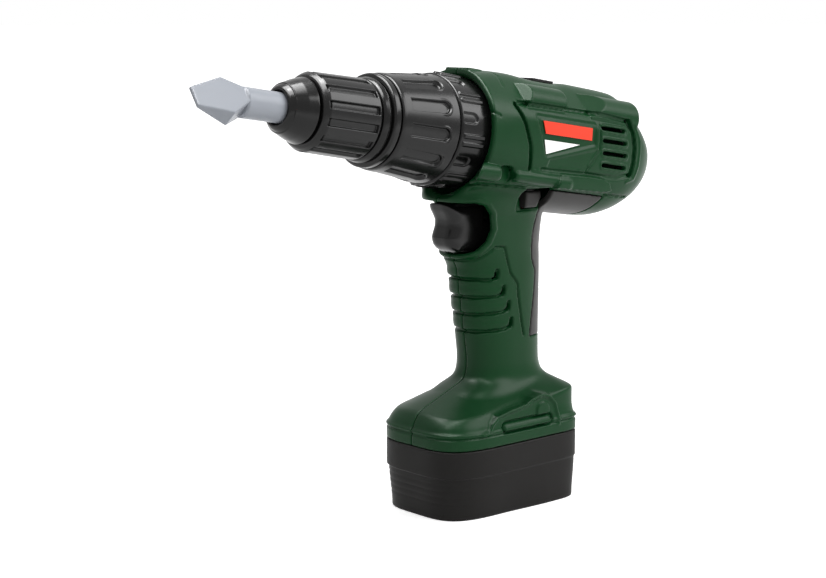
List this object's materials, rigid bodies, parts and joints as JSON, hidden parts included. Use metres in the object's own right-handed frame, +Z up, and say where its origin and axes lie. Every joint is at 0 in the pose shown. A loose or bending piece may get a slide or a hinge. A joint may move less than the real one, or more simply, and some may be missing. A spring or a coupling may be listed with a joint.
{
  "type": "toy power drill",
  "caption": "Pistol-grip toy power drill with a moulded two-half body, geared turning chuck, pull-out flat bit, sprung trigger, selectors and a battery base that it stands on.",
  "frame": {"origin": "middle of the underside of the battery base, on the surface that the drill stands on", "axes": "+Z up, +X towards the back of the drill, the chuck points to -X and 8.5 degrees up, and the left side with the sticker faces -Y"},
  "size_m": [0.2637, 0.061, 0.2061],
  "materials": {
    "green_abs": "satin moulded",
    "black_abs": "semi-gloss moulded",
    "charcoal_rubber": "matte",
    "silver_abs": "satin metallic plastic",
    "steel": "plain",
    "gear_nylon": "matte",
    "red_sticker": "printed film",
    "motor_can": "plated",
    "cell_wrap": "shrink film",
    "lead_vinyl": "vinyl"
  },
  "bodies": {
    "housing": {"left_housing": "green_abs", "right_housing": "green_abs", "soft_back": "charcoal_rubber", "side_label": "red_sticker", "gearbox_cover": "black_abs", "front_bush": "gear_nylon", "back_bush": "gear_nylon", "gearbox_plate": "black_abs", "idler_axle": "steel", "motor": "motor_can", "switch_block": "black_abs", "battery_case": "black_abs", "battery_door": "black_abs", "door_screw": "steel", "cell_1": "cell_wrap", "cell_2": "cell_wrap", "cell_3": "cell_wrap", "front_bridge": "steel", "front_terminal": "steel", "back_terminal": "steel", "back_bridge": "steel", "front_battery_lead": "lead_vinyl", "back_battery_lead": "lead_vinyl", "left_motor_lead": "lead_vinyl", "right_motor_lead": "lead_vinyl", "housing_screw_1": "steel", "housing_screw_2": "steel", "housing_screw_3": "steel", "housing_screw_4": "steel", "housing_screw_5": "steel", "housing_screw_6": "steel"},
    "chuck": {"chuck_nose": "black_abs", "chuck_sleeve": "black_abs", "chuck_collar": "black_abs", "spindle": "gear_nylon", "output_gear": "gear_nylon"},
    "bit": {"flat_bit": "silver_abs"},
    "idler": {"idler_gear": "gear_nylon"},
    "pinion": {"motor_pinion": "gear_nylon"},
    "torque_ring": {"torque_ring": "black_abs"},
    "trigger": {"trigger": "black_abs", "trigger_spring": "steel"},
    "direction_selector": {"direction_selector": "charcoal_rubber"},
    "speed_selector": {"speed_selector": "black_abs"}
  },
  "joints": [
    {"name": "chuck_spin", "type": "hinge", "parent": "housing", "child": "chuck", "pos_m": [-0.019, 0, 0.1765], "axis": [0.989, 0, -0.1478], "continuous": true},
    {"name": "bit_pull", "type": "slide", "parent": "chuck", "child": "bit", "axis": [-0.989, 0, 0.1478], "range_m": [0, 0.026]},
    {"name": "idler_spin", "type": "hinge", "parent": "housing", "child": "idler", "pos_m": [-0.02077, 0, 0.16463], "axis": [0.989, 0, -0.1478], "continuous": true},
    {"name": "pinion_spin", "type": "hinge", "parent": "housing", "child": "pinion", "pos_m": [-0.019, 0, 0.1765], "axis": [0.989, 0, -0.1478], "continuous": true},
    {"name": "torque_ring_turn", "type": "hinge", "parent": "housing", "child": "torque_ring", "pos_m": [-0.019, 0, 0.1765], "axis": [0.989, 0, -0.1478], "range_deg": [-150, 150]},
    {"name": "trigger_squeeze", "type": "slide", "parent": "housing", "child": "trigger", "axis": [1, 0, 0], "range_m": [0, 0.005], "stiffness_N_per_m": 300, "springref_m": -0.003, "deforming": ["trigger_spring"]},
    {"name": "direction_push", "type": "slide", "parent": "housing", "child": "direction_selector", "axis": [0, 1, 0], "range_m": [-0.0025, 0.0025]},
    {"name": "speed_slide", "type": "slide", "parent": "housing", "child": "speed_selector", "axis": [0.989, 0, -0.1478], "range_m": [0, 0.007]}
  ],
  "couplings": [
    {"joint": "idler_spin", "follows": "chuck_spin", "ratio": -2},
    {"joint": "pinion_spin", "follows": "chuck_spin", "ratio": 4}
  ]
}
